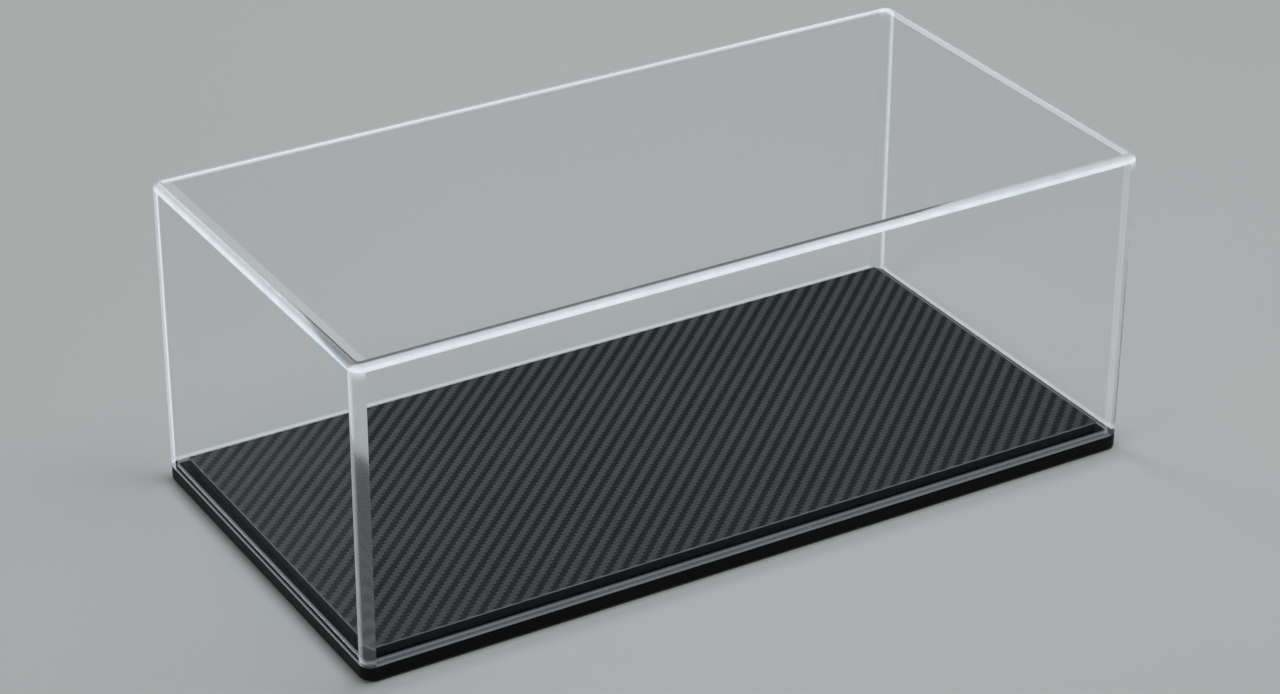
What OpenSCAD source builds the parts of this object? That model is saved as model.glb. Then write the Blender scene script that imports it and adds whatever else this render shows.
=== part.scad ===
// Display case for a scale model: a clear moulded cover that lifts off a low black base.
// The base is a ribbed tray with a raised deck board screwed to it, a woven-look sheet on
// the board, and four stick-on feet underneath.
//
// Origin: centre of the footprint, on the plane that the feet stand on.
// +X runs along the long side, +Y from front to back, +Z up. Millimetres.

/* [Case] */
// Outside length, along X
case_length = 325; // [300:1:350]
// Outside depth, along Y
case_depth = 165; // [150:1:185]
// Overall height, from the feet to the top of the cover
case_height = 125; // [100:1:150]
// Radius of the upright corners, seen from above
corner_r = 4.5; // [3.5:0.5:8]

/* [Cover] */
// Thickness of the clear walls and top
wall = 3; // [2:0.25:4]
// Outside radius where the walls turn into the top
top_edge_r = 3; // [1.5:0.5:3]

/* [Base] */
// Height of the ledge that the cover stands on
ledge_z = 6; // [5.5:0.5:9]
// Thickness of the tray's upper skin
skin = 2.2; // [1.6:0.2:2.4]
// Thickness of the tray's outer skirt
skirt = 2.4; // [1.6:0.2:3]
// Thickness of the stiffening ribs
rib = 1.6; // [1.2:0.2:2.4]
// How far the ribs stop short of the skirt's lower edge
rib_gap = 0.4; // [0.2:0.1:0.8]
// Ribs on each side of the middle one, across the tray
side_ribs = 3; // [2:1:4]

/* [Deck] */
// Distance from the outside of the case to the deck's edge
deck_inset = 6.5; // [5.5:0.5:12]
// Thickness of the deck board
deck_t = 3.5; // [3.5:0.5:6]
// Thickness of the woven-look sheet on the board
sheet_t = 0.5; // [0.3:0.1:1]
// Radius of the board's upright corners
deck_corner_r = 1; // [0.5:0.25:3]

/* [Deck screws] */
// Outside diameter of the thread
screw_d = 2.5; // [2:0.1:3]
// Length under the head
screw_length = 5.8; // [5:0.1:6]
// Diameter of the head
head_d = 5; // [4:0.5:6]
// Height of the head
head_h = 1.3; // [1:0.1:1.5]

/* [Feet] */
// Diameter of a foot
foot_d = 10; // [8:0.5:11]
// Thickness of a foot
foot_t = 2; // [1.6:0.1:2.4]
// How far a foot stands proud of the tray
foot_proud = 0.8; // [0.5:0.1:1]
// Distance from the outside of the case to a foot's centre
foot_inset = 14; // [12.5:0.5:18]

/* [Hidden] */
$fn = 96;

// overlap that keeps a cut or a joint clean
over = 0.1;

skin_z = ledge_z - skin;
rib_z = foot_proud + rib_gap;
inner_corner_r = max(corner_r - wall, 0.5);
skirt_corner_r = max(corner_r - skirt, 0.5);

deck_length = case_length - 2 * deck_inset;
deck_depth = case_depth - 2 * deck_inset;
sheet_z = ledge_z + deck_t;

// screws stand where the outer long ribs meet the first, middle and last cross rib
cross_pitch = 0.415 * case_length / side_ribs;
long_pitch = 0.176 * case_depth;
screw_x = cross_pitch * side_ribs;
screw_y = 2 * long_pitch;
screw_places = [for (x = [-screw_x, 0, screw_x], y = [-screw_y, screw_y]) [x, y]];

boss_d = 9;
head_seat_z = 3;
head_clear = 0.75;
screw_hole_d = screw_d + 0.8;
pilot_d = screw_d - 0.4;
pilot_depth = deck_t - 0.5;
tip_h = 0.8;
driver_slot = 0.8;
driver_span = 2.6;
driver_depth = 0.7;

seat_rim = 1.5;
seat_clear = 0.2;
foot_bevel = 0.4;

// An outline with rounded corners, centred on the origin.
module rounded_outline(length, depth, r) {
    square([length - 2 * r, depth], center = true);
    square([length, depth - 2 * r], center = true);
    for (x = [-1, 1], y = [-1, 1])
        translate([x * (length / 2 - r), y * (depth / 2 - r)])
            circle(r = r);
}

// A slab with rounded upright corners, from height z up.
module slab(length, depth, r, z, height) {
    translate([0, 0, z])
        linear_extrude(height = height)
            rounded_outline(length, depth, r);
}

// The cover's outline seen from one side: square at the foot, rounded at the top.
module arch_outline(span) {
    translate([-span / 2, 0])
        square([span, case_height - top_edge_r]);
    translate([-span / 2 + top_edge_r, 0])
        square([span - 2 * top_edge_r, case_height]);
    for (side = [-1, 1])
        translate([side * (span / 2 - top_edge_r), case_height - top_edge_r])
            circle(r = top_edge_r);
}

// The cover's outer form: the plan outline cut to the arch seen from the front and the side.
module cover_form() {
    intersection() {
        slab(case_length, case_depth, corner_r, ledge_z, case_height);
        rotate([90, 0, 0])
            linear_extrude(height = 2 * case_depth, center = true)
                arch_outline(case_length);
        rotate([90, 0, 90])
            linear_extrude(height = 2 * case_length, center = true)
                arch_outline(case_depth);
    }
}

module cover() {
    color("aliceblue", 0.3)
        difference() {
            cover_form();
            slab(case_length - 2 * wall, case_depth - 2 * wall, inner_corner_r,
                 ledge_z - over, case_height - wall - ledge_z + over);
        }
}

// The tray's outer skin and skirt, open below.
module tray_shell() {
    difference() {
        slab(case_length, case_depth, corner_r, foot_proud, ledge_z - foot_proud);
        slab(case_length - 2 * skirt, case_depth - 2 * skirt, skirt_corner_r,
             foot_proud - over, skin_z - foot_proud + over);
    }
}

// One rib, centred on [x, y], joined to the skin above it.
module rib_bar(x, y, length, depth) {
    translate([x - length / 2, y - depth / 2, rib_z])
        cube([length, depth, skin_z - rib_z + over]);
}

module ribs() {
    for (i = [-side_ribs : side_ribs])
        rib_bar(i * cross_pitch, 0, rib, case_depth - 2 * skirt + over);
    for (i = [-2 : 2])
        rib_bar(0, i * long_pitch, case_length - 2 * skirt + over, rib);
}

// A round pillar under the skin, from height z up.
module pillar(place, z, d) {
    translate([place[0], place[1], z])
        cylinder(h = skin_z - z + over, d = d);
}

// A foot's place, for a corner named by the signs of x and y.
function foot_place(x, y) = [x * (case_length / 2 - foot_inset), y * (case_depth / 2 - foot_inset)];

module base_tray() {
    color("#121315")
        difference() {
            union() {
                tray_shell();
                ribs();
                for (place = screw_places)
                    pillar(place, rib_z, boss_d);
                for (x = [-1, 1], y = [-1, 1])
                    pillar(foot_place(x, y), foot_proud, foot_d + 2 * seat_rim);
            }
            for (place = screw_places)
                translate([place[0], place[1], 0]) {
                    cylinder(h = head_seat_z, d = head_d + 2 * head_clear);
                    cylinder(h = ledge_z + over, d = screw_hole_d);
                }
            for (x = [-1, 1], y = [-1, 1])
                translate(foot_place(x, y))
                    cylinder(h = foot_t, d = foot_d + 2 * seat_clear);
        }
}

module deck_board() {
    color("#17181a")
        difference() {
            slab(deck_length, deck_depth, deck_corner_r, ledge_z, deck_t);
            for (place = screw_places)
                translate([place[0], place[1], ledge_z - over])
                    cylinder(h = pilot_depth + over, d = pilot_d);
        }
}

module carbon_sheet() {
    color("#3c4044")
        slab(deck_length, deck_depth, deck_corner_r, sheet_z, sheet_t);
}

// One self-tapping screw, head down, with a cross slot for the driver.
module deck_screw() {
    difference() {
        union() {
            translate([0, 0, head_seat_z - head_h])
                cylinder(h = head_h, d = head_d);
            translate([0, 0, head_seat_z - over])
                cylinder(h = screw_length - tip_h + over, d = screw_d);
            translate([0, 0, head_seat_z + screw_length - tip_h])
                cylinder(h = tip_h, d1 = screw_d, d2 = screw_d / 3);
        }
        for (turn = [0, 90])
            rotate(turn)
                translate([0, 0, head_seat_z - head_h + driver_depth / 2 - over / 2])
                    cube([driver_span, driver_slot, driver_depth + over], center = true);
    }
}

module deck_screws() {
    color("#8d9196")
        for (place = screw_places)
            translate([place[0], place[1], 0])
                deck_screw();
}

// A round rubber foot with a bevelled lower edge.
module foot(x, y) {
    color("#26272a")
        translate(foot_place(x, y))
            rotate_extrude()
                polygon([[0, 0], [foot_d / 2 - foot_bevel, 0], [foot_d / 2, foot_bevel],
                         [foot_d / 2, foot_t], [0, foot_t]]);
}

module foot_front_left() { foot(-1, -1); }
module foot_front_right() { foot(1, -1); }
module foot_back_left() { foot(-1, 1); }
module foot_back_right() { foot(1, 1); }

cover();
base_tray();
deck_board();
carbon_sheet();
deck_screws();
foot_front_left();
foot_front_right();
foot_back_left();
foot_back_right();
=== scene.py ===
"""Looks for the display case: a clear moulded cover over a black base with a twill-faced deck.

Lengths are in metres, in the row's own frame: +X along the case, +Y from front to back, +Z up.
"""

import math

import bmesh
import bpy
from mathutils import Matrix, Vector


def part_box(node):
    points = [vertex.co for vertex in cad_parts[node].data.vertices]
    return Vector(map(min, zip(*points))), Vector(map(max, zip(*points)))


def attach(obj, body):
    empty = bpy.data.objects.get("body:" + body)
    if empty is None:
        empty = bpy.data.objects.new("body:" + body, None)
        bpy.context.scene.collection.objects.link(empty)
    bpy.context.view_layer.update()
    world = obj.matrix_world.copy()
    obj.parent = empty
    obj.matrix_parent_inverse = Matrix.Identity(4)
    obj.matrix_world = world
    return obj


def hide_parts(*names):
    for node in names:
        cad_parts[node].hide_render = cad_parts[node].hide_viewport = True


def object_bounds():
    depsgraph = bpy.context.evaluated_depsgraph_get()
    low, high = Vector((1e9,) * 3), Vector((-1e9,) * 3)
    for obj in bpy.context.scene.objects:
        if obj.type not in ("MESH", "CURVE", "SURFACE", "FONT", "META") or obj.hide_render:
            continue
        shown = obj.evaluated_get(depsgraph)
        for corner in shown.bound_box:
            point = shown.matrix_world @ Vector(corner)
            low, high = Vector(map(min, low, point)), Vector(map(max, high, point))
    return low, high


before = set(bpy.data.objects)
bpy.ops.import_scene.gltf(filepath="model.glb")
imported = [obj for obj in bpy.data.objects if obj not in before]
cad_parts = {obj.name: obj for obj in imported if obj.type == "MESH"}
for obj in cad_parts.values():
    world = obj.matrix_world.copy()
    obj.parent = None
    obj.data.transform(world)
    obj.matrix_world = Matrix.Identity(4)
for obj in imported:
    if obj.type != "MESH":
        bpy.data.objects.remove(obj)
CAD_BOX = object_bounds()

MM = 0.001

# ---------------------------------------------------------------- sizes, as the part is designed
WALL = 3.0 * MM
CORNER_R = 4.5 * MM
TOP_EDGE_R = 3.0 * MM
INSIDE_EDGE_R = 0.9 * MM
INSIDE_CORNER_R = 0.6 * MM
RIM_BREAK = 0.35 * MM

SKIN = 2.2 * MM
SKIRT = 2.4 * MM
TRAY_EDGE_R = 0.45 * MM
TRAY_INSIDE_R = 0.8 * MM
SKIN_FILLET = 0.4 * MM
RIB = 1.6 * MM
RIB_GAP = 0.4 * MM
RIB_DRAFT = 0.15 * MM
RIB_BREAK = 0.15 * MM
RIB_CORNER_R = 0.3 * MM
CROSS_RIBS_A_SIDE = 3
LONG_RIBS_A_SIDE = 2
CROSS_PITCH_SHARE = 0.415
LONG_PITCH_SHARE = 0.176
BOSS_D = 9.0 * MM
BOSS_DRAFT = 0.05 * MM
HEAD_HOLE_D = 6.5 * MM
HEAD_SEAT_Z = 3.0 * MM
SCREW_HOLE_D = 3.3 * MM
SEAT_RIM = 1.5 * MM
SEAT_CLEAR = 0.2 * MM
SEAT_BREAK = 0.25 * MM

# how far ribs, bosses and seats run into the skin, and the broken edge of small moulded details
ROOT = 0.2 * MM
BREAK = 0.2 * MM

DECK_CORNER_R = 1.0 * MM
DECK_EDGE_R = 0.25 * MM

YARN_ACROSS = 1.83 * MM
YARN_ALONG = 1.69 * MM
YARN_RISE = 0.07 * MM
YARN_CROWN = 0.06 * MM
FIBRES_ALONG, FIBRES_ACROSS = 700, 7000
SHEET_EDGE_R = 0.15 * MM
SHOULDER_DROP = 0.08 * MM
CUT_BELOW_TOP = 0.1 * MM
EDGE_YARN_SHARE = 0.3

FOOT_BEVEL = 0.4 * MM
FOOT_SHOULDER = 0.3 * MM
DISH_DEPTH = 0.12 * MM

SCREW_BREAK = 0.08 * MM

FLOOR_HALF = 4.0

# a face whose normal lies this close to an axis is one of the flat panes
FLAT = 0.999

# lengths this small are rounding, in yarn counts or in metres
TINY = 1e-6

# how much of the light that meets a rounded clear edge goes through, and how bright the glow painted on
# the edges is: a painted light, with its share down the uprights
EDGE_CLEARNESS = 0.94
PAINTED_EDGE_GLOW = 0.46
UPRIGHT_SHARE = 0.6
WALL_BOUNCES = 48

# the strips of painted glow on the flat panes, a painted light: their size and glow, and each one's
# share of the glow
STRIP = 3.0 * MM
STRIP_FADE = 0.5 * MM
PAINTED_STRIP_GLOW = 0.45
FACE_SLACK = 0.2 * MM
BACK_SHARE = 0.6
LEFT_END_SHARE, RIGHT_END_SHARE = 0.18, 0.45
FRONT_UPRIGHT_SHARE = 0.15
RIM_SHARE = 0.42

# ---------------------------------------------------------------- places, from the frame
cover_lo, cover_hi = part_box("cover")
tray_lo, tray_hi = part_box("base_tray")
deck_lo, deck_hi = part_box("deck_board")
sheet_lo, sheet_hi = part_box("carbon_sheet")
FEET = ("foot_front_left", "foot_front_right", "foot_back_left", "foot_back_right")


# ================================================================ camera and stage
def place_camera():
    """A long lens, a little above and to the left of the case's front corner."""
    azimuth, elevation, roll = (math.radians(a) for a in (-30.9, 28.44, 0.27))
    distance, lens = 1.32, 99.1
    aim_right, aim_up = -3.1 * MM, -11.1 * MM
    back = Vector((math.sin(azimuth) * math.cos(elevation),
                   -math.cos(azimuth) * math.cos(elevation), math.sin(elevation)))
    level = Vector((math.cos(azimuth), math.sin(azimuth), 0))
    up = back.cross(level)
    right = level * math.cos(roll) + up * math.sin(roll)
    up = back.cross(right)
    data = bpy.data.cameras.new("studio_camera")
    data.lens, data.sensor_width = lens, 36
    camera = bpy.data.objects.new("studio_camera", data)
    bpy.context.scene.collection.objects.link(camera)
    centre = (CAD_BOX[0] + CAD_BOX[1]) / 2
    camera.matrix_world = Matrix.Translation(
        centre + right * aim_right + up * aim_up + back * distance
    ) @ Matrix((right, up, back)).transposed().to_4x4()
    bpy.context.scene.camera = camera


def soft_light(name, place, aim, wide, tall, power):
    """A studio softbox at place, turned to face aim.

    The clear panes pass its light to what is under them as shadow rays, so it isn't shown to rays that
    come through the panes as well, which would count it twice.
    """
    data = bpy.data.lights.new(name, "AREA")
    data.shape, data.size, data.size_y, data.energy = "RECTANGLE", wide, tall, power
    light = bpy.data.objects.new(name, data)
    bpy.context.scene.collection.objects.link(light)
    light.visible_transmission = False
    light.location = place
    light.rotation_euler = (Vector(place) - Vector(aim)).to_track_quat("Z", "Y").to_euler()


def light_the_set():
    """A dim, cool sky and four softboxes round the case."""
    world = bpy.data.worlds.new("studio_air")
    bpy.context.scene.world = world
    world.use_nodes = True
    sky = world.node_tree.nodes["Background"]
    sky.inputs["Color"].default_value = (0.80, 0.84, 0.88, 1)
    sky.inputs["Strength"].default_value = 0.14
    middle = (0, 0, 0.05)
    soft_light("overhead_softbox", (0.5, -0.1, 1.5), middle, 1.1, 1.1, 15)
    soft_light("left_softbox", (-1.5, -0.5, 1.1), middle, 0.8, 0.8, 7)
    soft_light("rear_softbox", (-0.2, 1.5, 1.25), middle, 0.7, 0.7, 8)
    soft_light("low_strip", (1.15, 1.7, 0.30), middle, 1.8, 0.30, 1.5)
    bpy.context.scene.view_settings.view_transform = "Standard"


def follow_light_through_walls():
    """Lets light run the whole height of a clear wall, from face to face, before it is given up."""
    cycles = bpy.context.scene.cycles
    cycles.max_bounces = cycles.glossy_bounces = cycles.transmission_bounces = WALL_BOUNCES


# ================================================================ node helpers
class Nodes:
    """Short ways to add nodes to one tree. A socket or a plain value may be given for any input."""

    def __init__(self, tree):
        self.tree = tree

    def add(self, kind, **settings):
        node = self.tree.nodes.new(kind)
        for key, value in settings.items():
            setattr(node, key, value)
        return node

    def put(self, value, socket):
        if isinstance(value, bpy.types.NodeSocket):
            self.tree.links.new(value, socket)
        else:
            socket.default_value = value

    def maths(self, operation, a, b=0.0):
        node = self.add("ShaderNodeMath", operation=operation)
        self.put(a, node.inputs[0])
        self.put(b, node.inputs[1])
        return node.outputs[0]

    def mix(self, share, a, b):
        """A blend of two numbers."""
        node = self.add("ShaderNodeMix", data_type="FLOAT")
        self.put(share, node.inputs[0])
        self.put(a, node.inputs[2])
        self.put(b, node.inputs[3])
        return node.outputs[0]

    def mix_colour(self, share, a, b):
        """A blend of two colours."""
        node = self.add("ShaderNodeMix", data_type="RGBA")
        self.put(share, node.inputs[0])
        self.put(a, node.inputs[6])
        self.put(b, node.inputs[7])
        return node.outputs[2]

    def remap(self, value, low, high, to_low=0.0, to_high=1.0):
        """The value carried from one range to another, and held at its ends."""
        node = self.add("ShaderNodeMapRange")
        ends = {"From Min": low, "From Max": high, "To Min": to_low, "To Max": to_high}
        for key, number in ends.items():
            self.put(number, node.inputs[key])
        self.put(value, node.inputs["Value"])
        return node.outputs["Result"]

    def apart(self, vector):
        """The x, y and z sockets of a vector."""
        node = self.add("ShaderNodeSeparateXYZ")
        self.put(vector, node.inputs[0])
        return tuple(node.outputs)

    def stretched(self, place, scale):
        """The place scaled by a different amount along each axis."""
        node = self.add("ShaderNodeMapping")
        node.inputs["Scale"].default_value = scale
        self.put(place, node.inputs["Vector"])
        return node.outputs["Vector"]

    def noise(self, place, scale, detail=3.0, roughness=0.5):
        node = self.add("ShaderNodeTexNoise")
        self.put(place, node.inputs["Vector"])
        self.put(scale, node.inputs["Scale"])
        self.put(detail, node.inputs["Detail"])
        self.put(roughness, node.inputs["Roughness"])
        return node.outputs["Fac"]

    def bump(self, height, distance, strength, normal=None):
        """A normal bent by a height, on top of another normal if one is given."""
        node = self.add("ShaderNodeBump")
        self.put(height, node.inputs["Height"])
        self.put(distance, node.inputs["Distance"])
        self.put(strength, node.inputs["Strength"])
        if normal is not None:
            self.put(normal, node.inputs["Normal"])
        return node.outputs["Normal"]

    def place(self):
        """Where a point is in the piece's own space."""
        return self.add("ShaderNodeTexCoord").outputs["Object"]

    def group(self, tree, **inputs):
        """The outputs of a group placed in this tree. An input's name has _ for each space."""
        node = self.add("ShaderNodeGroup")
        node.node_tree = tree
        for key, value in inputs.items():
            self.put(value, node.inputs[key.replace("_", " ")])
        return node.outputs


def new_group(name, inputs, outputs):
    """An empty shader group. inputs and outputs map socket names to (kind, default)."""
    tree = bpy.data.node_groups.new(name, "ShaderNodeTree")
    for way, sockets in (("INPUT", inputs), ("OUTPUT", outputs)):
        for key, (kind, default) in sockets.items():
            socket = tree.interface.new_socket(key, in_out=way, socket_type=f"NodeSocket{kind}")
            if default is not None:
                socket.default_value = default
    nodes = Nodes(tree)
    return tree, nodes, nodes.add("NodeGroupInput").outputs, nodes.add("NodeGroupOutput").inputs


def new_material(name):
    """A material with one Principled shader: (material, helper, shader inputs)."""
    material = bpy.data.materials.new(name)
    material.use_nodes = True
    shader = material.node_tree.nodes["Principled BSDF"]
    return material, Nodes(material.node_tree), shader.inputs


def handling_marks_group():
    """Faint wipe marks and settled dust, for every smooth face of the case."""
    tree, n, given, out = new_group(
        "handling marks",
        {"Place": ("Vector", None), "Wipe size": ("Float", 0.03), "Dust size": ("Float", 0.0004)},
        {"Wipes": ("Float", None), "Dust": ("Float", None)},
    )
    wipe_scale = n.maths("DIVIDE", 1.0, given["Wipe size"])
    broad = n.noise(n.stretched(given["Place"], (1.0, 1.7, 0.6)), wipe_scale, 4, 0.62)
    n.put(n.remap(broad, 0.42, 0.72), out["Wipes"])
    dust_scale = n.maths("DIVIDE", 1.0, given["Dust size"])
    grains = n.add("ShaderNodeTexVoronoi")
    n.put(given["Place"], grains.inputs["Vector"])
    n.put(n.maths("MULTIPLY", dust_scale, 0.2), grains.inputs["Scale"])
    speck = n.remap(grains.outputs["Distance"], 0.03, 0.07, 1.0, 0.0)
    sparse = n.remap(n.noise(given["Place"], wipe_scale, 2), 0.60, 0.72)
    n.put(n.maths("MULTIPLY", speck, sparse), out["Dust"])
    return tree


def moulded_grain_group():
    """The very fine unevenness of a moulded or rubbed plastic face."""
    tree, n, given, out = new_group(
        "moulded grain",
        {"Place": ("Vector", None), "Grain size": ("Float", 0.0005), "Ripple size": ("Float", 0.02)},
        {"Grain": ("Float", None), "Ripple": ("Float", None)},
    )
    n.put(n.noise(given["Place"], n.maths("DIVIDE", 1.0, given["Grain size"]), 3, 0.6), out["Grain"])
    n.put(n.noise(given["Place"], n.maths("DIVIDE", 1.0, given["Ripple size"]), 2, 0.4), out["Ripple"])
    return tree


def twill_group():
    """A two-over, two-under twill: which yarn is on top, how high it is, and its fibres."""
    tree, n, given, out = new_group(
        "twill weave",
        {"Place": ("Vector", None), "Yarn across": ("Float", 0.0018), "Yarn along": ("Float", 0.0018)},
        {"Weft on top": ("Float", None), "Height": ("Float", None), "Fibres": ("Float", None),
         "Gap": ("Float", None)},
    )
    x, y, _ = n.apart(given["Place"])
    u = n.maths("DIVIDE", x, given["Yarn across"])
    v = n.maths("DIVIDE", y, given["Yarn along"])
    warp_number, weft_number = n.maths("FLOOR", u), n.maths("FLOOR", v)

    def wave(along, number, peak):
        """How far a yarn rises, 1 where it passes over and -1 where it passes under."""
        run = n.maths("SUBTRACT", n.maths("SUBTRACT", along, number), peak)
        return n.maths("COSINE", n.maths("MULTIPLY", run, math.pi / 2))

    def crown(across, number):
        """0 along a yarn's middle and 1 at its sides."""
        side = n.maths("SUBTRACT", n.maths("MULTIPLY", n.maths("SUBTRACT", across, number), 2.0), 1.0)
        return n.maths("MULTIPLY", side, side)

    weft_crown, warp_crown = crown(v, weft_number), crown(u, warp_number)
    share = YARN_CROWN / YARN_RISE
    weft = n.maths("SUBTRACT", wave(u, weft_number, 1.0), n.maths("MULTIPLY", weft_crown, share))
    warp = n.maths("SUBTRACT", wave(v, warp_number, 2.0), n.maths("MULTIPLY", warp_crown, share))
    over = n.remap(n.maths("SUBTRACT", weft, warp), -0.06, 0.06)
    n.put(over, out["Weft on top"])
    top = n.maths("MAXIMUM", weft, warp)
    n.put(top, out["Height"])
    side = n.mix(over, warp_crown, weft_crown)
    n.put(n.remap(side, 0.55, 1.0), out["Gap"])
    weft_fibres = n.noise(n.stretched(given["Place"], (FIBRES_ALONG, FIBRES_ACROSS, 1)), 1.0, 3, 0.65)
    warp_fibres = n.noise(n.stretched(given["Place"], (FIBRES_ACROSS, FIBRES_ALONG, 1)), 1.0, 3, 0.65)
    n.put(n.mix(over, warp_fibres, weft_fibres), out["Fibres"])
    return tree


# ================================================================ materials
def painted_glow_beside_edges(n, place):
    """The strips of painted glow, a painted light, beside the far and end roundings and along the rim,
    from 0 to 1.
    """
    half = (cover_hi - cover_lo) / 2
    x, y, z = n.apart(place)

    def times(a, b):
        return n.maths("MULTIPLY", a, b)

    def near(distance, limit):
        """1 closer to a limit than a strip's width, fading to 0 just beyond it."""
        return n.remap(distance, limit - STRIP - STRIP_FADE, limit - STRIP)

    def on_face(distance, limit):
        """1 on the pane that lies at a limit, and 0 inside the wall."""
        return n.remap(distance, limit - FACE_SLACK, limit - FACE_SLACK / 2)

    end_share = n.remap(x, -half.x / 2, half.x / 2, LEFT_END_SHARE, RIGHT_END_SHARE)
    along_back = times(near(y, half.y - TOP_EDGE_R), BACK_SHARE)
    along_ends = times(near(n.maths("ABSOLUTE", x), half.x - TOP_EDGE_R), end_share)
    top = times(on_face(z, cover_hi.z), n.maths("MAXIMUM", along_back, along_ends))
    left = times(on_face(times(x, -1.0), half.x), near(y, half.y - CORNER_R))
    front = times(on_face(times(y, -1.0), half.y), near(x, half.x - CORNER_R))
    uprights = n.maths("MAXIMUM", left, times(front, FRONT_UPRIGHT_SHARE))
    rim = n.remap(z, cover_lo.z + STRIP / 3, cover_lo.z + 2 * STRIP / 3, RIM_SHARE, 0.0)
    return n.maths("MAXIMUM", n.maths("MAXIMUM", top, uprights), rim)


def clear_plastic(marks, grain):
    """The flat panes of the cover: clear, with strips of painted glow, a painted light, beside their
    edges.

    To shadow rays the panes are a plain see-through tint, so light falls through them onto the deck.
    """
    material, n, shader = new_material("clear_moulded_plastic")
    place = n.place()
    wipes = n.group(marks, Place=place, Wipe_size=0.045)
    fine = n.group(grain, Place=place, Ripple_size=0.05)
    shader["Base Color"].default_value = (0.985, 0.992, 0.995, 1)
    shader["Transmission Weight"].default_value = 1.0
    shader["IOR"].default_value = 1.04
    n.put(n.remap(wipes["Wipes"], 0, 1, 0.0, 0.02), shader["Roughness"])
    # the strips glow bluish to white: painted light, an emission and no lamp
    painted_glow_colour = n.mix_colour(fine["Ripple"], (0.70, 0.76, 0.90, 1), (0.95, 0.97, 1.0, 1))
    n.put(n.mix_colour(painted_glow_beside_edges(n, place), (0, 0, 0, 1), painted_glow_colour), shader["Emission Color"])
    shader["Emission Strength"].default_value = PAINTED_STRIP_GLOW
    n.put(n.bump(fine["Ripple"], 0.00004, 0.25), shader["Normal"])
    surface = shader["Base Color"].node.outputs["BSDF"]
    shadow = n.add("ShaderNodeBsdfTransparent")
    shadow.inputs["Color"].default_value = (0.95, 0.965, 0.97, 1)
    blend = n.add("ShaderNodeMixShader")
    n.put(n.add("ShaderNodeLightPath").outputs["Is Shadow Ray"], blend.inputs[0])
    n.put(surface, blend.inputs[1])
    n.put(shadow.outputs[0], blend.inputs[2])
    n.put(blend.outputs[0], material.node_tree.nodes["Material Output"].inputs["Surface"])
    return material


def painted_glow_on_edges(n, place):
    """How much painted glow, a painted light, lies over the rounded edges, from 0 to 1.

    Along the top it shows most on the outer half of the rounding. Down each upright it is weaker,
    and lies as a line towards the end of the case. The inner roundings hardly show it.
    """
    facing_x, _, facing_z = n.apart(n.add("ShaderNodeTexCoord").outputs["Normal"])
    upward = n.maths("MAXIMUM", facing_z, 0.0)
    past_top_face = n.remap(upward, 1.0, 0.45, 0.12, 1.0)
    before_side_face = n.remap(upward, 0.0, 0.12, 0.5, 1.0)
    along_top = n.maths("MULTIPLY", past_top_face, before_side_face)
    endward = n.maths("ABSOLUTE", facing_x)
    down_uprights = n.remap(endward, 0.84, 0.97, 0.08 * UPRIGHT_SHARE, UPRIGHT_SHARE)
    near_top = n.remap(n.apart(place)[2], cover_hi.z - 2 * TOP_EDGE_R, cover_hi.z - TOP_EDGE_R)
    return n.mix(near_top, down_uprights, along_top)


def clear_edges(marks, grain):
    """The rounded edges of the clear moulding, a little frosted, with a soft painted glow on them:
    painted light, an emission.
    """
    material, n, shader = new_material("clear_moulded_edges")
    place = n.place()
    wipes = n.group(marks, Place=place, Wipe_size=0.03)
    fine = n.group(grain, Place=place, Ripple_size=0.006)
    tint = n.mix_colour(fine["Ripple"], (0.80, 0.87, 0.92, 1), (0.96, 0.97, 0.98, 1))
    n.put(tint, shader["Base Color"])
    shader["Transmission Weight"].default_value = EDGE_CLEARNESS
    shader["IOR"].default_value = 1.25
    n.put(n.remap(wipes["Wipes"], 0, 1, 0.20, 0.32), shader["Roughness"])
    n.put(n.bump(fine["Ripple"], 0.00006, 0.1), shader["Normal"])
    # the edges glow bluish to white: painted light, an emission and no lamp
    painted_glow_colour = n.mix_colour(fine["Ripple"], (0.66, 0.78, 0.90, 1), (1.0, 1.0, 0.99, 1))
    n.put(n.mix_colour(painted_glow_on_edges(n, place), (0, 0, 0, 1), painted_glow_colour), shader["Emission Color"])
    shader["Emission Strength"].default_value = PAINTED_EDGE_GLOW
    return material


def black_moulding(marks, grain):
    """The tray's satin black plastic, with a little settled dust."""
    material, n, shader = new_material("black_moulded_plastic")
    place = n.place()
    wipes = n.group(marks, Place=place, Wipe_size=0.03, Dust_size=0.0004)
    fine = n.group(grain, Place=place, Grain_size=0.0006, Ripple_size=0.03)
    deep, worn = (0.0025, 0.0027, 0.003, 1), (0.005, 0.0054, 0.006, 1)
    colour = n.mix_colour(wipes["Wipes"], deep, worn)
    dusty = n.maths("MULTIPLY", wipes["Dust"], 0.35)
    n.put(n.mix_colour(dusty, colour, (0.22, 0.22, 0.21, 1)), shader["Base Color"])
    rough = n.remap(wipes["Wipes"], 0, 1, 0.34, 0.43)
    n.put(n.mix(wipes["Dust"], rough, 0.8), shader["Roughness"])
    shader["Specular IOR Level"].default_value = 0.09
    ripple = n.bump(fine["Ripple"], 0.0003, 0.03)
    n.put(n.bump(fine["Grain"], 0.00004, 0.3, ripple), shader["Normal"])
    return material


def black_board(marks, grain):
    """The deck board: nearly black, with a faint blue-green."""
    material, n, shader = new_material("black_board")
    place = n.place()
    wipes = n.group(marks, Place=place, Wipe_size=0.02)
    fine = n.group(grain, Place=place, Grain_size=0.0004)
    lighter = n.maths("MULTIPLY", fine["Grain"], 0.9)
    colour = n.mix_colour(lighter, (0.016, 0.021, 0.024, 1), (0.027, 0.033, 0.036, 1))
    n.put(colour, shader["Base Color"])
    n.put(n.remap(wipes["Wipes"], 0, 1, 0.42, 0.55), shader["Roughness"])
    shader["Specular IOR Level"].default_value = 0.12
    n.put(n.bump(fine["Grain"], 0.00006, 0.5), shader["Normal"])
    return material


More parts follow.
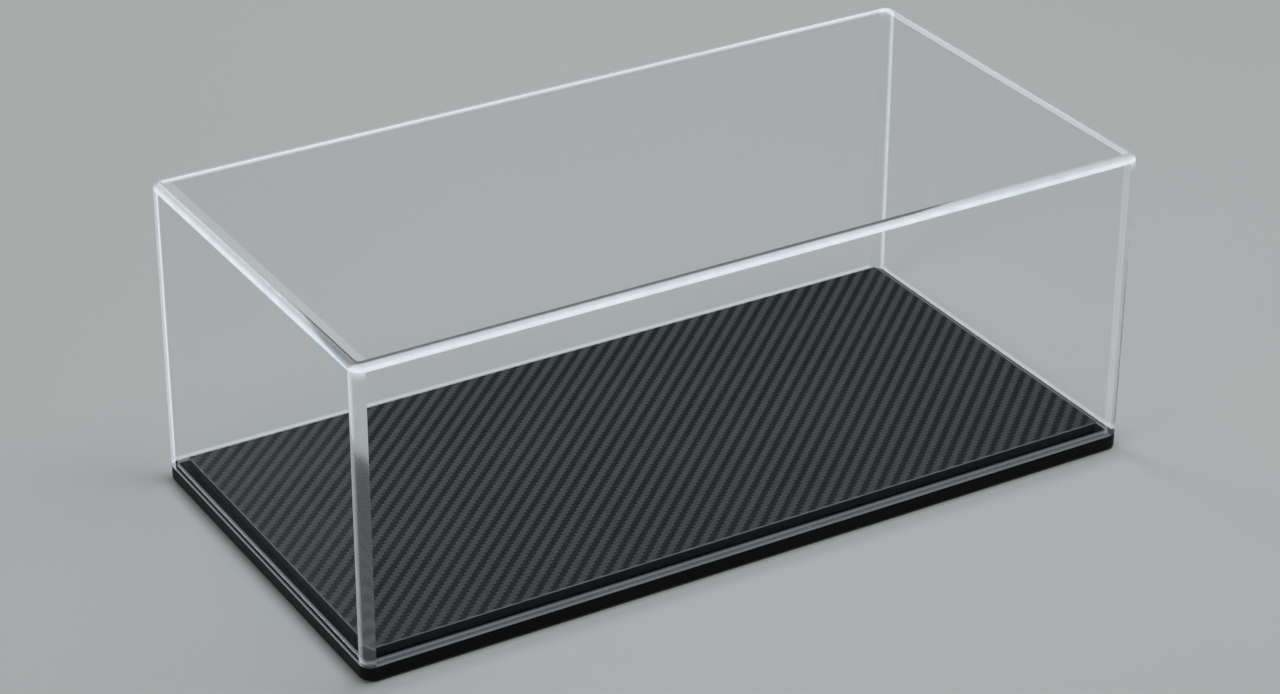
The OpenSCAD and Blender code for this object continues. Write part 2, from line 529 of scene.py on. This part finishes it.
def twill_face(twill, marks):
    """The woven face: near-black warp, grey weft, fibres along each yarn, and painted shade on each
    yarn's sides by the gaps.
    """
    material, n, shader = new_material("twill_sheet_face")
    place = n.place()
    weave = n.group(twill, Place=place, Yarn_across=YARN_ACROSS, Yarn_along=YARN_ALONG)
    wipes = n.group(marks, Place=place, Wipe_size=0.05)
    warp_black, weft_grey = (0.0065, 0.0080, 0.0098, 1), (0.050, 0.057, 0.062, 1)
    yarn = n.mix_colour(weave["Weft on top"], warp_black, weft_grey)
    fibre = n.remap(weave["Fibres"], 0.3, 0.7, 0.72, 1.25)
    # each yarn is darkened towards its sides, where it dips into the gaps: painted shade, on the
    # fibres' own tone
    fibre_tone_and_gap_shade = n.maths("MULTIPLY", fibre, n.remap(weave["Gap"], 0, 1, 1.0, 0.62))
    darker = n.add("ShaderNodeVectorMath", operation="SCALE")
    n.put(yarn, darker.inputs[0])
    n.put(fibre_tone_and_gap_shade, darker.inputs["Scale"])
    n.put(darker.outputs[0], shader["Base Color"])
    n.put(n.remap(wipes["Wipes"], 0, 1, 0.40, 0.50), shader["Roughness"])
    shader["Specular IOR Level"].default_value = 0.30
    lay = n.bump(weave["Height"], YARN_RISE * 0.5, 0.4)
    n.put(n.bump(weave["Fibres"], 0.00003, 0.35, lay), shader["Normal"])
    return material


def cut_edge(grain):
    """The sheet's cut edge, lighter and duller than its face."""
    material, n, shader = new_material("sheet_cut_edge")
    fine = n.group(grain, Place=n.place(), Grain_size=0.0005, Ripple_size=0.006)
    colour = n.mix_colour(fine["Ripple"], (0.13, 0.135, 0.14, 1), (0.30, 0.31, 0.32, 1))
    n.put(colour, shader["Base Color"])
    shader["Roughness"].default_value = 0.6
    n.put(n.bump(fine["Grain"], 0.00005, 0.6), shader["Normal"])
    return material


def foot_rubber(grain):
    """Dull black rubber."""
    material, n, shader = new_material("foot_rubber")
    fine = n.group(grain, Place=n.place(), Grain_size=0.0003, Ripple_size=0.004)
    colour = n.mix_colour(fine["Ripple"], (0.018, 0.018, 0.019, 1), (0.035, 0.035, 0.036, 1))
    n.put(colour, shader["Base Color"])
    n.put(n.remap(fine["Grain"], 0.3, 0.7, 0.72, 0.9), shader["Roughness"])
    n.put(n.bump(fine["Grain"], 0.00008, 0.7), shader["Normal"])
    return material


def zinc_plate(grain):
    """Bright zinc on the screws."""
    material, n, shader = new_material("zinc_plated_steel")
    fine = n.group(grain, Place=n.place(), Grain_size=0.00012, Ripple_size=0.0015)
    colour = n.mix_colour(fine["Ripple"], (0.52, 0.53, 0.55, 1), (0.70, 0.71, 0.72, 1))
    n.put(colour, shader["Base Color"])
    shader["Metallic"].default_value = 1.0
    n.put(n.remap(fine["Ripple"], 0.3, 0.7, 0.28, 0.42), shader["Roughness"])
    n.put(n.bump(fine["Grain"], 0.00002, 0.5), shader["Normal"])
    return material


def pale_floor(grain):
    """A plain, dull, light grey floor."""
    material, n, shader = new_material("pale_floor")
    fine = n.group(grain, Place=n.place(), Ripple_size=0.6)
    colour = n.mix_colour(fine["Ripple"], (0.46, 0.47, 0.47, 1), (0.49, 0.50, 0.50, 1))
    n.put(colour, shader["Base Color"])
    shader["Roughness"].default_value = 0.9
    shader["Specular IOR Level"].default_value = 0.1
    return material


# ================================================================ mesh making
def arc(centre, radius, start, end, steps):
    """Points of an arc from start to end, in degrees, in the plane of a profile: (out, up)."""
    turns = [math.radians(start + (end - start) * k / steps) for k in range(steps + 1)]
    return [(centre[0] + radius * math.cos(t), centre[1] + radius * math.sin(t)) for t in turns]


def rounded_ring(half_x, half_y, radius, z, steps=10):
    """Points round a rectangle with rounded corners, the same number at every corner."""
    points = []
    for quarter, (side_x, side_y) in enumerate(((1, 1), (-1, 1), (-1, -1), (1, -1))):
        for step in range(steps + 1):
            turn = math.radians(90) * (quarter + step / steps)
            points.append((side_x * (half_x - radius) + radius * math.cos(turn),
                           side_y * (half_y - radius) + radius * math.sin(turn), z))
    return points


def loft(rings, form=None):
    """A closed form through rings of equal length, with a flat face on the first and the last."""
    form = form or bmesh.new()
    rows = [[form.verts.new(p) for p in ring] for ring in rings]
    for lower, upper in zip(rows, rows[1:]):
        for k in range(len(lower)):
            m = (k + 1) % len(lower)
            form.faces.new((lower[k], lower[m], upper[m], upper[k]))
    form.faces.new(list(reversed(rows[0])))
    form.faces.new(rows[-1])
    return form


def turned(profile, centre, form, steps=48):
    """A turned form about an upright axis through centre. profile is (radius, height) pairs."""
    rings = [[(centre[0] + r * math.cos(2 * math.pi * k / steps),
               centre[1] + r * math.sin(2 * math.pi * k / steps), z) for k in range(steps)]
             for r, z in profile]
    return loft(rings, form)


def make_piece(name, form, body, replaced, material):
    """Turns a finished form into a piece that rides on a body."""
    bmesh.ops.recalc_face_normals(form, faces=form.faces)
    mesh = bpy.data.meshes.new(name)
    form.to_mesh(mesh)
    form.free()
    mesh.shade_smooth()
    mesh.materials.append(material)
    piece = bpy.data.objects.new(name, mesh)
    bpy.context.scene.collection.objects.link(piece)
    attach(piece, body)
    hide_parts(*replaced)
    return piece


def hold_flats(piece):
    """Keeps broad faces flat where they run into small rounded edges."""
    flats = piece.modifiers.new("hold_flats", "WEIGHTED_NORMAL")
    flats.weight, flats.keep_sharp = 100, True


# ================================================================ the pieces
def make_cover(material, edge_material):
    """One moulded box, open below: rounded outside and in, with a flat rim."""
    half = (cover_hi - cover_lo) / 2
    top, foot = cover_hi.z, cover_lo.z
    # the profile is (distance in from the outside, height), from the top's middle round to the ceiling
    outer = arc((TOP_EDGE_R, top - TOP_EDGE_R), TOP_EDGE_R, 90, 180, 10)
    rim = (arc((RIM_BREAK, foot + RIM_BREAK), RIM_BREAK, 180, 270, 3)
           + arc((WALL - RIM_BREAK, foot + RIM_BREAK), RIM_BREAK, 270, 360, 3))
    ceiling = top - WALL
    inner = arc((WALL + INSIDE_EDGE_R, ceiling - INSIDE_EDGE_R), INSIDE_EDGE_R, 180, 90, 5)
    rings = [rounded_ring(half.x - d, half.y - d, max(CORNER_R - d, INSIDE_CORNER_R), z)
             for d, z in outer + rim + inner]
    piece = make_piece("cover_shell", loft(rings), "cover", ["cover"], material)
    piece.data.materials.append(edge_material)
    for face in piece.data.polygons:
        x, y, z = face.center
        outside = min(half.x - abs(x), half.y - abs(y), top - z) < WALL / 2
        rounded = max(abs(c) for c in face.normal) < FLAT
        face.material_index = int((outside and rounded) or z < foot + RIM_BREAK)
    hold_flats(piece)


def tapered_bar(form, x, y, half_x, half_y):
    """A stiffening rib under the skin, a little thinner at its lower, broken edge."""
    low, high = tray_lo.z + RIB_GAP, tray_hi.z - SKIN + ROOT
    rings = [rounded_ring(half_x - s, half_y - s, RIB_CORNER_R, z, 3)
             for s, z in ((0, high), (RIB_DRAFT, low + BREAK), (RIB_DRAFT + RIB_BREAK, low))]
    loft([[(x + px, y + py, pz) for px, py, pz in ring] for ring in rings], form)


def make_tray(material):
    """The black base: a skirted skin with rounded edges, ribs, screw bosses and foot seats."""
    half = (tray_hi - tray_lo) / 2
    top, foot = tray_hi.z, tray_lo.z
    under = top - SKIN
    upper_edge = arc((TRAY_EDGE_R, top - TRAY_EDGE_R), TRAY_EDGE_R, 90, 180, 4)
    lower_edge = (arc((TRAY_EDGE_R, foot + TRAY_EDGE_R), TRAY_EDGE_R, 180, 270, 4)
                  + arc((SKIRT - TRAY_EDGE_R, foot + TRAY_EDGE_R), TRAY_EDGE_R, 270, 360, 4))
    fillet_z = under - SKIN_FILLET
    inside = [(SKIRT, fillet_z)] + arc((SKIRT + SKIN_FILLET, fillet_z), SKIN_FILLET, 180, 90, 3)
    rings = [rounded_ring(half.x - d, half.y - d, max(CORNER_R - d, TRAY_INSIDE_R), z)
             for d, z in upper_edge + lower_edge + inside]
    form = loft(rings)
    length, depth = 2 * half.x, 2 * half.y
    cross_pitch = CROSS_PITCH_SHARE * length / CROSS_RIBS_A_SIDE
    long_pitch = LONG_PITCH_SHARE * depth
    for i in range(-CROSS_RIBS_A_SIDE, CROSS_RIBS_A_SIDE + 1):
        tapered_bar(form, i * cross_pitch, 0, RIB / 2, half.y - SKIRT + ROOT)
    for i in range(-LONG_RIBS_A_SIDE, LONG_RIBS_A_SIDE + 1):
        tapered_bar(form, 0, i * long_pitch, half.x - SKIRT + ROOT, RIB / 2)
    low, inside_skin = foot + RIB_GAP, under + ROOT
    for x in (-CROSS_RIBS_A_SIDE * cross_pitch, 0, CROSS_RIBS_A_SIDE * cross_pitch):
        for y in (-LONG_RIBS_A_SIDE * long_pitch, LONG_RIBS_A_SIDE * long_pitch):
            boss = [(SCREW_HOLE_D / 2, inside_skin), (BOSS_D / 2, inside_skin),
                    (BOSS_D / 2 - BOSS_DRAFT, low + BREAK), (BOSS_D / 2 - BOSS_DRAFT - BREAK, low),
                    (HEAD_HOLE_D / 2 + BREAK, low), (HEAD_HOLE_D / 2, low + BREAK),
                    (HEAD_HOLE_D / 2, HEAD_SEAT_Z), (SCREW_HOLE_D / 2, HEAD_SEAT_Z)]
            turned(boss, (x, y), form)
    for name in FEET:
        lo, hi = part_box(name)
        seat_r = (hi.x - lo.x) / 2 + SEAT_CLEAR
        rim_r = seat_r - SEAT_CLEAR + SEAT_RIM
        seat = [(rim_r, inside_skin), (rim_r, foot + SEAT_BREAK), (rim_r - SEAT_BREAK, foot),
                (seat_r + BREAK, foot), (seat_r, foot + BREAK), (seat_r, hi.z)]
        turned(seat, ((lo.x + hi.x) / 2, (lo.y + hi.y) / 2), form)
    piece = make_piece("tray_moulding", form, "base", ["base_tray"], material)
    hold_flats(piece)


def make_deck(material):
    """The raised board, square-edged but for a fine break on each edge."""
    half = (deck_hi - deck_lo) / 2
    edges = (arc((DECK_EDGE_R, deck_hi.z - DECK_EDGE_R), DECK_EDGE_R, 90, 180, 3)
             + arc((DECK_EDGE_R, deck_lo.z + DECK_EDGE_R), DECK_EDGE_R, 180, 270, 3))
    rings = [rounded_ring(half.x - d, half.y - d, DECK_CORNER_R - d, z, 6) for d, z in edges]
    piece = make_piece("deck_platform", loft(rings), "base", ["deck_board"], material)
    hold_flats(piece)


def yarn_height(x, y):
    """How far the woven face lies below its highest point, at a place on the sheet."""
    u, v = x / YARN_ACROSS, y / YARN_ALONG
    warp_number, weft_number = math.floor(u + TINY), math.floor(v + TINY)
    weft = (YARN_RISE * math.cos(math.pi / 2 * (u - weft_number - 1))
            - YARN_CROWN * (2 * (v - weft_number) - 1) ** 2)
    warp = (YARN_RISE * math.cos(math.pi / 2 * (v - warp_number - 2))
            - YARN_CROWN * (2 * (u - warp_number) - 1) ** 2)
    return max(weft, warp) - YARN_RISE


def half_yarn_lines(low, high, pitch):
    """Places on the half-yarn grid between two limits, with the limits themselves at the ends."""
    margin = EDGE_YARN_SHARE * pitch
    first, last = math.ceil((low + margin) * 2 / pitch), math.floor((high - margin) * 2 / pitch)
    return [low] + [k * pitch / 2 for k in range(first, last + 1)] + [high]


def make_sheet(face, edge):
    """The sheet with its woven relief on top and a cut edge all round."""
    lo, hi = sheet_lo, sheet_hi
    xs = half_yarn_lines(lo.x + SHEET_EDGE_R, hi.x - SHEET_EDGE_R, YARN_ACROSS)
    ys = half_yarn_lines(lo.y + SHEET_EDGE_R, hi.y - SHEET_EDGE_R, YARN_ALONG)
    form = bmesh.new()
    rows = [[form.verts.new((x, y, hi.z + yarn_height(x, y))) for x in xs] for y in ys]
    for lower, upper in zip(rows, rows[1:]):
        for k in range(len(xs) - 1):
            form.faces.new((lower[k], lower[k + 1], upper[k + 1], upper[k]))
    border = (rows[0] + [row[-1] for row in rows[1:]] + rows[-1][-2::-1]
              + [row[0] for row in reversed(rows[1:-1])])
    first, last = rows[0][0].co.copy(), rows[-1][-1].co.copy()

    def shoulder_under(vert):
        """The border point moved out to the sheet's edge, and down to where the cut face begins."""
        x = vert.co.x + SHEET_EDGE_R * ((vert.co.x == last.x) - (vert.co.x == first.x))
        y = vert.co.y + SHEET_EDGE_R * ((vert.co.y == last.y) - (vert.co.y == first.y))
        return form.verts.new((x, y, min(vert.co.z, hi.z - CUT_BELOW_TOP) - SHOULDER_DROP))

    shoulder = [shoulder_under(v) for v in border]
    base = [form.verts.new((v.co.x, v.co.y, lo.z)) for v in shoulder]
    edge_faces = []
    for upper, lower in ((border, shoulder), (shoulder, base)):
        for k in range(len(upper)):
            m = (k + 1) % len(upper)
            edge_faces.append(form.faces.new((upper[k], lower[k], lower[m], upper[m])))
    form.faces.new(list(reversed(base)))
    for cut in edge_faces:
        cut.material_index = 1
    piece = make_piece("twill_sheet", form, "base", ["carbon_sheet"], face)
    piece.data.materials.append(edge)
    return piece


def make_foot(node, material):
    """A stick-on rubber foot with a soft lower edge and a shallow dish in its sole."""
    lo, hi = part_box(node)
    r = (hi.x - lo.x) / 2
    sole = arc((r - FOOT_BEVEL, lo.z + FOOT_BEVEL), FOOT_BEVEL, 0, -90, 5)
    shoulder = [(r - FOOT_SHOULDER, hi.z), (r - FOOT_SHOULDER / 3, hi.z - FOOT_SHOULDER / 6),
                (r, hi.z - FOOT_SHOULDER)]
    dish = [(share * r, lo.z + drop * DISH_DEPTH) for share, drop in ((0.62, 0), (0.58, 0.5), (0.3, 1))]
    form = turned(shoulder + sole + dish, ((lo.x + hi.x) / 2, (lo.y + hi.y) / 2), bmesh.new())
    piece = make_piece(node + "_pad", form, "base", [node], material)
    hold_flats(piece)


def finish_screws(material):
    """The screws keep their own shape, with a zinc finish and finely broken edges."""
    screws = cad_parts["deck_screws"]
    screws.data.materials.clear()
    screws.data.materials.append(material)
    weld = screws.modifiers.new("weld", "WELD")
    weld.merge_threshold = TINY
    edges = screws.modifiers.new("broken_edges", "BEVEL")
    edges.width, edges.segments, edges.limit_method = SCREW_BREAK, 2, "ANGLE"
    edges.angle_limit = math.radians(40)
    hold_flats(screws)


def make_floor(material):
    """The plain floor the case stands on. It belongs to the stage and not to the case."""
    form = bmesh.new()
    bmesh.ops.create_grid(form, x_segments=8, y_segments=8, size=FLOOR_HALF)
    mesh = bpy.data.meshes.new("floor")
    form.to_mesh(mesh)
    form.free()
    mesh.materials.append(material)
    floor = bpy.data.objects.new("floor", mesh)
    bpy.context.scene.collection.objects.link(floor)


# ================================================================ the build
place_camera()
light_the_set()
follow_light_through_walls()

MARKS = handling_marks_group()
GRAIN = moulded_grain_group()
TWILL = twill_group()

make_cover(clear_plastic(MARKS, GRAIN), clear_edges(MARKS, GRAIN))
make_tray(black_moulding(MARKS, GRAIN))
make_deck(black_board(MARKS, GRAIN))
make_sheet(twill_face(TWILL, MARKS), cut_edge(GRAIN))
rubber = foot_rubber(GRAIN)
for foot_name in FEET:
    make_foot(foot_name, rubber)
finish_screws(zinc_plate(GRAIN))
make_floor(pale_floor(GRAIN))
